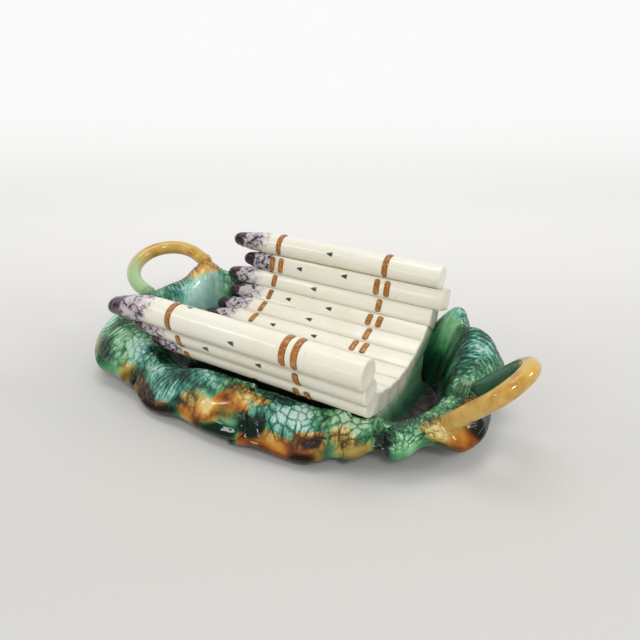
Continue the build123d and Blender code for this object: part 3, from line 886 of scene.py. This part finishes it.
# Painted shade: the last centimetre above the floor at the butt end is painted deep green, and the rest of
# the block, under the spears, dark brown low down and deep green higher up.
flank = wire.place("X").step(0.097, 0.090)
base_colour = wire.coats(
    base_cream,
    ((height - back_rise(wire)).step(green_from, green_full), base_green),
    (height.step(0.022, 0.012), base_shade_green),
    (flank, wire.coats(base_shadow, (height.step(0.022, 0.034), base_shade_green))),
)
finish_glaze(shader, wire, base_colour, wire.cloud(250), 0.0005)
base_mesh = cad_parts["cradle_base"].data.copy()
base_mesh.name = "cradle_base_glazed"
base_mesh.materials.clear()
base_mesh.materials.append(base_glaze)
base = add_object("cradle_base_glazed", base_mesh)
weld = base.modifiers.new("weld", "WELD")
weld.merge_threshold = 0.00002
soften = base.modifiers.new("soften", "BEVEL")
soften.width = 0.0022
soften.segments = 3
soften.limit_method = "ANGLE"
soften.angle_limit = radians(38)
base_view = bpy.context.evaluated_depsgraph_get()
base.data = bpy.data.meshes.new_from_object(base.evaluated_get(base_view))
base.modifiers.clear()
base.data.shade_smooth()
base.data.set_sharp_from_angle(angle=radians(35))
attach(base, "root")
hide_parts("cradle_base")


# Spears: white asparagus pressed in clay, side by side round the trough, their butts cut flat. Ivory
# glaze, tips brushed with purple in the pattern of the scales, and small dark bud marks.

spear_radius = 9.2
front_spear_radius = 11.0
spear_breadth = 16.0
wall_breadth = 11.0
top_breadth = 10.5
spear_crowding = 0.89
butt_bevel = 1.6
tip_slenderness = 3.9
base_depth = 11.0
scale_rows = 6.0
scales_round = 8
bud_half_length = 3.6
Spear = namedtuple("Spear", "heading tip butt droop tip_dashes butt_dashes")
SPEARS = [
    Spear(14, 109, 100, 1, 1, 1),
    Spear(16, 95, 106, 1, 2, 2),
    Spear(35, 112, 99, 2, 1, 1),
    Spear(58, 104, 98, 1, 1, 2),
    Spear(68, 108, 98, 3, 1, 1),
    Spear(78, 112, 98, 4, 1, 2),
    Spear(88, 106, 98, 2, 1, 1),
    Spear(99, 110, 98, 2, 1, 2),
    Spear(110, 103, 98, 2, 1, 1),
    Spear(122, 99, 99, 2, 1, 2),
    Spear(153, 98, 103, 3, 1, 2),
    Spear(157, 108, 105, 3, 1, 1),
    Spear(157, 127, 106, 8, 1, 2),
]
last_spear = len(SPEARS) - 1
last_base_spear = 10


def spear_size(index):
    return front_spear_radius if index == last_spear else spear_radius


def spear_spread(index):
    """Half breadth of a spear before its sides are cut flat."""
    if index == 0:
        return top_breadth
    if index == last_spear:
        return front_spear_radius
    return wall_breadth if index >= last_base_spear else spear_breadth


def heading_vector(heading):
    return -sin(radians(heading)), -cos(radians(heading))


AXES = [(0.0, 0.0)]
for index in range(last_spear):
    step_y, step_z = heading_vector(SPEARS[index].heading)
    length = spear_crowding * (spear_size(index) + spear_size(index + 1))
    AXES.append((AXES[-1][0] + length * step_y, AXES[-1][1] + length * step_z))
middle_y = (AXES[0][0] + AXES[-1][0]) / 2
lift_z = floor_top + base_depth + spear_radius - min(z for _, z in AXES)
AXES = [(y - middle_y, z + lift_z) for y, z in AXES]


def row_headings(index):
    """Headings of the row of spears before and after a spear."""
    return SPEARS[max(index - 1, 0)].heading, SPEARS[min(index, last_spear - 1)].heading


def spear_facing(index):
    """The way the inner side of a spear faces, as an angle in the YZ plane."""
    step_y, step_z = heading_vector(sum(row_headings(index)) / 2)
    return atan2(-step_y, step_z)


# Bud marks: spear number, place along it, and turn from the way its inner side faces, in degrees.
Bud = namedtuple("Bud", "spear x turn")
BUDS = [
    Bud(1, 1, -18), Bud(2, -27, -6), Bud(2, 18, -18), Bud(3, -10, -6), Bud(4, -32, 2), Bud(4, 10, -2),
    Bud(5, -2, 6), Bud(6, -30, 14), Bud(6, 12, 14), Bud(7, -8, 0), Bud(8, -34, 0), Bud(9, 4, 0),
    Bud(10, -20, 0), Bud(13, 7, 158), Bud(12, -25, 160), Bud(12, 23, 158), Bud(11, 12, 170),
    Bud(13, -40, 60),
]


def spear_piece(index, material):
    """One spear: rings of points from the tip to the butt, flattened where it meets its neighbours."""
    spear = SPEARS[index]
    y, z = AXES[index]
    radius = spear_size(index)
    taper = tip_slenderness * radius
    tip_brush = 5.6 if index == last_spear else 5.2
    neck = taper - spear.tip
    arc = ((0.8 * taper) ** 2 + (0.28 * radius) ** 2) / (0.56 * radius)
    nose = np.linspace(1, 0, 26)
    nose_far = taper * bezier(np.array([0.8, 0.92, 1.0, 1.0]), nose)
    nose_size = radius * bezier(np.array([0.72, 0.66, 0.42, 0.02]), nose)
    shaft_far = np.linspace(0.8 * taper, 0, 46)[1:]
    shaft_size = radius - arc + np.sqrt(arc ** 2 - shaft_far ** 2)
    body = np.linspace(0, neck - spear.butt + butt_bevel, 120)[1:]
    round_over = np.linspace(0, pi / 2, 7)
    end_far = neck - spear.butt + butt_bevel * (1 - np.sin(round_over))
    end_size = radius - butt_bevel * (1 - np.cos(round_over))
    face_size = (radius - butt_bevel) * np.array([0.8, 0.5, 0.2, 0.03])
    face_far = np.full(4, neck - spear.butt) + np.array([0.1, 0.25, 0.35, 0.4])
    far = np.concatenate([nose_far, shaft_far, body, end_far[1:], face_far])
    size = np.concatenate([nose_size, shaft_size, np.full(len(body), radius), end_size[1:], face_size])

    if index in (0, last_spear):
        theta = np.linspace(0, 2 * pi, 84, endpoint=False)
    else:
        face = np.linspace(52, 128, 30)
        side = np.linspace(-52, 52, 14)[1:-1]
        theta = np.radians(np.concatenate([side, face, side + 180, face + 180]))
    columns = len(theta)
    far_grid = np.broadcast_to(far[:, None], (len(far), columns))
    widen = np.clip(1 - far / (0.5 * taper), 0, 1) ** 2
    broad = 1 + (spear_spread(index) / radius - 1) * np.where(far < 0, 1, widen)
    round_turn = np.arctan2(np.sin(theta), broad[:, None] * np.cos(theta))
    row = np.floor(far_grid / scale_rows)
    along = far_grid / scale_rows - row
    across = np.mod(round_turn / (2 * pi) * scales_round + row / 2, 1) - 0.5
    outline = np.abs(np.abs(across) - 0.5 * (1 - along))
    tip_share = np.clip(1 - (taper - far_grid) / (tip_brush * radius), 0, 1)
    stroke = np.exp(-(outline / 0.11) ** 2) * np.clip(tip_share * 5, 0, 1)
    scale_relief = 0.40 * np.clip(tip_share * 4, 0, 1) * np.clip((1 - tip_share) * 6, 0, 1)
    bulge = scale_relief * (np.clip(0.5 * (1 - along) - np.abs(across), 0, 0.5) * 2 - 0.5)
    wobble = 0.15 * drift(far_grid / 14 + index * 5, np.cos(theta) * 1.2 + 0 * far_grid, 41)
    bud_mark = np.zeros(far_grid.shape)
    for bud in BUDS:
        if bud.spear == index + 1:
            side = (np.mod(round_turn - radians(90 + bud.turn) + pi, 2 * pi) - pi) * radius
            ahead = (neck - far_grid) - bud.x
            wedge = np.clip((ahead + bud_half_length) / (2 * bud_half_length), 0, 1)
            inside = np.clip(1.2 - np.abs(side) / (0.3 + 2.8 * wedge), 0, 1)
            inside = inside * (np.abs(ahead) < bud_half_length)
            bud_mark = np.maximum(bud_mark, np.clip(inside * 2.5, 0, 1) * np.clip((4.2 - ahead) / 5, 0, 1))
    relief = bulge + wobble - 0.15 + 0.3 * bud_mark
    grown = size[:, None] + np.where(far_grid > neck - spear.butt + 3, relief, 0)
    grown = np.minimum(np.maximum(grown, 0.02), radius + 0.2)

    droop = radians(spear.droop)
    bent = np.maximum(far, 0)
    straight = np.minimum(far, 0)
    x = neck - straight - bent * cos(droop)
    sink = bent * sin(droop)
    facing = spear_facing(index)
    back = grown * broad[:, None] * np.cos(theta)
    inward = grown * np.sin(theta)
    aside = inward * cos(facing) + back * sin(facing)
    upward = inward * sin(facing) - back * cos(facing)
    points = np.stack([
        np.broadcast_to(x[:, None], grown.shape) + upward * sin(droop) * (bent > 0)[:, None],
        y + aside,
        z - sink[:, None] + upward * np.where(bent > 0, cos(droop), 1)[:, None],
    ], -1)
    # Painted shade in the creases where the spear meets its neighbours.
    crease_shade = np.zeros(grown.shape)
    for other in (index - 1, index + 1):
        if 0 <= other <= last_spear:
            other_y, other_z = AXES[other]
            gap = hypot(other_y - y, other_z - z)
            share = (gap ** 2 + radius ** 2 - spear_size(other) ** 2) / (2 * gap ** 2)
            toward = np.array([0, other_y - y, other_z - z]) / gap
            beyond = (points - np.array([0, y, z])) @ toward - share * gap
            points = points - np.maximum(beyond, 0)[..., None] * toward
            crease_shade = np.maximum(crease_shade, np.exp(-np.maximum(-beyond, 0) / 1.1))
    marks = {"tip": tip_share, "stroke": stroke, "bud": bud_mark, "crease_shade": crease_shade}
    name = f"spear_{index + 1:02d}"
    faces = tube_faces(len(far), columns)
    piece = make_mesh(name + "_glazed", points.reshape(-1, 3), faces, marks, material)
    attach(piece, "root")
    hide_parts(name)


ivory = (0.83, 0.805, 0.70, 1)
ivory_warm = (0.81, 0.77, 0.63, 1)
crease_shade_tone = (0.50, 0.46, 0.30, 1)
lilac = (0.42, 0.37, 0.43, 1)
purple = (0.050, 0.020, 0.046, 1)
aubergine = (0.036, 0.007, 0.022, 1)
bud_dark = (0.010, 0.007, 0.010, 1)
spear_glaze, shader, wire = new_glaze("spear glaze", 0.20)
small = wire.cloud(170, 3.0)
speck = wire.cloud(330, 3.0, 0.6)
ragged_tip = wire.attribute("tip") + 0.40 * (small - 0.5)
brushed = ragged_tip.step(0.04, 0.36)
butt_end = wire.place("X").step(0.0955, 0.0975)
run_down = (wire.place("Z") - back_rise(wire) + 0.006 * (small - 0.5)).step(green_from, green_full)
blots = 0.10 * wire.attribute("stroke") + 0.6 * speck + 0.4 * small
spear_colour = wire.coats(
    ivory,
    (wire.cloud(30, 2.0).step(0.4, 0.7), ivory_warm),
    # Painted shade in the creases between the spears.
    (wire.attribute("crease_shade") * 0.6, crease_shade_tone),
    (butt_end * run_down, base_green),
    (brushed * (0.45 + 0.7 * small), lilac),
    (brushed * blots.step(0.51, 0.63), purple),
    (ragged_tip.step(0.62, 0.71), aubergine),
    (wire.attribute("bud").step(0.30, 0.60) * 0.95, bud_dark),
)
finish_glaze(shader, wire, spear_colour, wire.cloud(200), 0.0003)
for index in range(len(SPEARS)):
    spear_piece(index, spear_glaze)


# Ties: two lines of raffia laid round the spears in low relief, a dash or a pair of dashes on each,
# painted orange brown.

tie_spacing = 106.0
dash_width = 5.2
dash_relief = 0.75
dash_pair = 9.4
dash_gap = 1.2
cap_half_angle = 78.0
back_cap_turn = -33
front_cap_turn = 117


def dash_tree():
    """Nodes that lay one curved dash at every point, turned and sized by the point's own values."""
    tree, wire, given = new_tree("raffia dashes", ["Start", "Sweep", "Width", "Relief"])
    arc = wire.node(
        "GeometryNodeCurveArc",
        {"Resolution": 25, "Radius": 1.0, "Start Angle": given["Start"], "Sweep Angle": given["Sweep"]},
        mode="RADIUS",
    )
    run = wire.node("GeometryNodeSplineParameter", output="Factor")
    marked = wire.store(arc, "run", run)
    ends = (run * (1.0 - run) * 11.0).at_most(1.0) ** 0.5
    circle = wire.node("GeometryNodeCurvePrimitiveCircle", {"Resolution": 16, "Radius": 1.0})
    place = wire.node("GeometryNodeInputPosition")
    across = wire.node("ShaderNodeSeparateXYZ", {"Vector": place}, output="Y")
    section = wire.store(circle, "edge", across.at_least(0.0 - across))
    shape = wire.vector(given["Relief"], given["Width"] * 0.5, 1.0)
    flat = wire.node("GeometryNodeTransform", {"Geometry": section, "Scale": shape})
    strand = wire.tube(marked, flat, ends)
    turn, depth, breadth = [
        wire.node("GeometryNodeInputNamedAttribute", {"Name": name}, "Attribute", data_type="FLOAT")
        for name in ("turn", "depth", "breadth")
    ]
    rotation = wire.vector(turn, 0.0, 0.0)
    scale = wire.vector(1.0, depth, breadth)
    stood = wire.node("GeometryNodeTransform", {"Geometry": strand, "Rotation": (pi / 2, 0.0, pi / 2)})
    laid = wire.node(
        "GeometryNodeInstanceOnPoints",
        {"Points": given["Geometry"], "Instance": stood, "Rotation": rotation, "Scale": scale},
    )
    end_tree(wire, laid, given["Material"])
    return tree


def dash_places(x, counts):
    """Where the dashes of a tie lie: start and end of the arc, spear and place along it."""
    places = []
    for index, count in enumerate(counts):
        before, after = row_headings(index)
        bend = radians((after - before) / 2)
        room = spear_crowding * spear_radius / cos(bend) - dash_gap
        room -= (spear_radius + dash_relief) * tan(bend)
        half = degrees(asin(min(room / spear_spread(index), 1)))
        if index == 0:
            arcs = [(back_cap_turn - cap_half_angle, back_cap_turn + cap_half_angle)]
        elif index == last_spear:
            arcs = [(front_cap_turn - cap_half_angle, front_cap_turn + cap_half_angle)]
        else:
            arcs = [(-half, half)]
        if index == last_base_spear:
            # Longer than in the solid, which keeps clear of its neighbours.
            arcs.append((180 - 1.7 * half, 180 + 0.2 * half))
        elif last_base_spear < index < last_spear:
            arcs.append((180 - half, 180 + half))
        for place in range(count):
            shift = (place - (count - 1) / 2) * dash_pair
            for start, end in arcs:
                places.append((round(start, 1), round(end, 1), index, x + shift))
    return places


raffia = (0.36, 0.125, 0.020, 1)
raffia_light = (0.52, 0.23, 0.045, 1)
raffia_dark = (0.10, 0.028, 0.008, 1)
tie_glaze, shader, wire = new_glaze("raffia glaze", 0.12)
run = wire.attribute("run")
tie_colour = wire.coats(
    raffia,
    (wire.cloud(260, 3.0).step(0.35, 0.7), raffia_light),
    (wire.cloud(700, 2.0).step(0.50, 0.75), raffia_dark),
    ((run * (1.0 - run)).step(0.10, 0.02) * 0.8, raffia_dark),
    (wire.attribute("edge").step(0.65, 1.0) * 0.55, raffia_dark),
)
finish_glaze(shader, wire, tie_colour, wire.cloud(900), 0.0003)
raffia_tree = dash_tree()
TIES = [
    ("tie_tip_end", -tie_spacing / 2, [spear.tip_dashes for spear in SPEARS]),
    ("tie_butt_end", tie_spacing / 2, [spear.butt_dashes for spear in SPEARS]),
]
for tie_name, tie_x, tie_counts in TIES:
    places = dash_places(tie_x, tie_counts)
    strands = []
    for start, end in sorted({place[:2] for place in places}):
        group = [place for place in places if place[:2] == (start, end)]
        spears = [place[2] for place in group]
        seeds = bpy.data.meshes.new("dash_places")
        spots = [(x * MM, AXES[spear][0] * MM, AXES[spear][1] * MM) for _, _, spear, x in group]
        seeds.from_pydata(spots, [], [])
        values = {
            "turn": [spear_facing(spear) for spear in spears],
            "depth": [spear_size(spear) * MM for spear in spears],
            "breadth": [spear_spread(spear) * MM for spear in spears],
        }
        for mark, numbers in values.items():
            seeds.attributes.new(mark, "FLOAT", "POINT").data.foreach_set("value", numbers)
        source = add_object("dash_places", seeds)
        strands.append(grow(source, tie_name + "_strands", raffia_tree, {
            "Start": radians(start), "Sweep": radians(end - start), "Width": dash_width * MM,
            "Relief": dash_relief / spear_radius, "Material": tie_glaze,
        }))
    with bpy.context.temp_override(active_object=strands[0], selected_editable_objects=strands):
        bpy.ops.object.join()
    tie = strands[0]
    tie.name = tie_name + "_glazed"
    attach(tie, "root")
    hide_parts(tie_name)


# Table and light: a plain pale sweep of paper under and behind the plate, a wide soft lamp overhead,
# a window beside the camera and smaller lamps at the sides. The room is even and pale, and dimmer
# where the glaze mirrors it, so that dark glaze stays deep.

sweep_rows = [
    (-4.0, 0.0), (0.9, 0.0), (1.15, 0.02), (1.4, 0.09), (1.6, 0.22), (1.75, 0.45), (1.8, 0.8), (1.8, 3.0),
]
sweep_turn = 31.5
shaded_near_paper = (0.62, 0.615, 0.595, 1)
lit_far_paper = (0.88, 0.875, 0.86, 1)
white_wall = (0.97, 0.97, 0.965, 1)
sweep = bpy.data.meshes.new("paper_sweep")
sweep_points = [(side, y, z) for y, z in sweep_rows for side in (-5.0, 5.0)]
sweep_faces = [(2 * i, 2 * i + 1, 2 * i + 3, 2 * i + 2) for i in range(len(sweep_rows) - 1)]
sweep.from_pydata(sweep_points, [], sweep_faces)
sweep.shade_smooth()
paper_material = bpy.data.materials.new("paper")
paper_material.use_nodes = True
paper_shader = paper_material.node_tree.nodes["Principled BSDF"]
wire = Wire(paper_material.node_tree)
depth = wire.place("Y")
# Painted shade and light: the paper is painted darker near the front and paler towards the back.
paper_colour = wire.coats(shaded_near_paper, (depth.step(-0.20, 0.55), lit_far_paper))
wire.tree.links.new(paper_colour.socket, paper_shader.inputs["Base Color"])
seen = wire.ray("Is Camera Ray")
for kind in ("Is Glossy Ray", "Is Transmission Ray"):
    seen = seen.at_least(wire.ray(kind))
wall = wire.node("ShaderNodeEmission", {"Color": white_wall})
paper = Wire(wire.tree, paper_shader.outputs[0])
blend = wire.node("ShaderNodeMixShader", {0: seen * depth.step(0.0, 1.5) * 0.97, 1: paper, 2: wall})
wire.tree.links.new(blend.socket, paper_material.node_tree.nodes["Material Output"].inputs["Surface"])
paper_shader.inputs["Roughness"].default_value = 0.9
paper_shader.inputs["Specular IOR Level"].default_value = 0.0
sweep.materials.append(paper_material)
backdrop = add_object("paper_sweep", sweep)
backdrop.rotation_euler = (0, 0, radians(sweep_turn))

Lamp = namedtuple("Lamp", "name place target width height power")
LAMPS = [
    Lamp("window", (0.72, -0.85, 1.00), (0, 0, 0.05), 0.34, 0.22, 4.8),
    Lamp("overhead", (-0.15, 0.05, 1.35), (0, 0, 0), 0.70, 0.70, 4.6),
    Lamp("right side", (1.05, 0.42, 0.75), (0, 0, 0.05), 0.30, 0.30, 2.4),
    Lamp("left side", (-0.85, -0.90, 0.85), (0, 0, 0.05), 0.35, 0.16, 1.3),
    Lamp("low front", (-0.40, -1.22, 0.34), (0, 0, 0.03), 0.16, 0.05, 0.5),
]
for lamp in LAMPS:
    light = bpy.data.lights.new(lamp.name, "AREA")
    light.shape = "RECTANGLE"
    light.size = lamp.width
    light.size_y = lamp.height
    light.energy = lamp.power
    lamp_object = add_object(lamp.name, light)
    lamp_object.location = lamp.place
    way = Vector(lamp.target) - Vector(lamp.place)
    lamp_object.rotation_euler = way.to_track_quat("-Z", "Y").to_euler()

room_light = (1.0, 0.99, 0.97, 1)
room_strength = 0.64
mirrored_strength = 0.18
world = bpy.data.worlds.new("room")
bpy.context.scene.world = world
world.use_nodes = True
sky = world.node_tree.nodes["Background"]
sky.inputs["Color"].default_value = room_light
sky.inputs["Strength"].default_value = room_strength
wire = Wire(world.node_tree)
even_sky = Wire(wire.tree, sky.outputs[0])
dim_sky = wire.node("ShaderNodeBackground", {"Color": room_light, "Strength": mirrored_strength})
room = wire.node("ShaderNodeMixShader", {0: wire.ray("Is Glossy Ray"), 1: even_sky, 2: dim_sky})
wire.tree.links.new(room.socket, world.node_tree.nodes["World Output"].inputs["Surface"])

# Camera, fitted to the photo.
camera_place = Vector((0.24114, -0.34679, 0.26296))
right = Vector((0.8525, 0.5227, 0.0)).normalized()
forward = Vector((-0.4719, 0.7698, -0.4299)).normalized()
focal_pixels = 580
picture_pixels = 640
camera_data = bpy.data.cameras.new("camera")
camera_data.lens = focal_pixels / picture_pixels * camera_data.sensor_width
camera = add_object("camera", camera_data)
turned = Matrix((right, right.cross(forward), -forward)).transposed()
camera.matrix_world = Matrix.Translation(camera_place) @ turned.to_4x4()
bpy.context.scene.camera = camera
bpy.context.scene.view_settings.view_transform = "Standard"
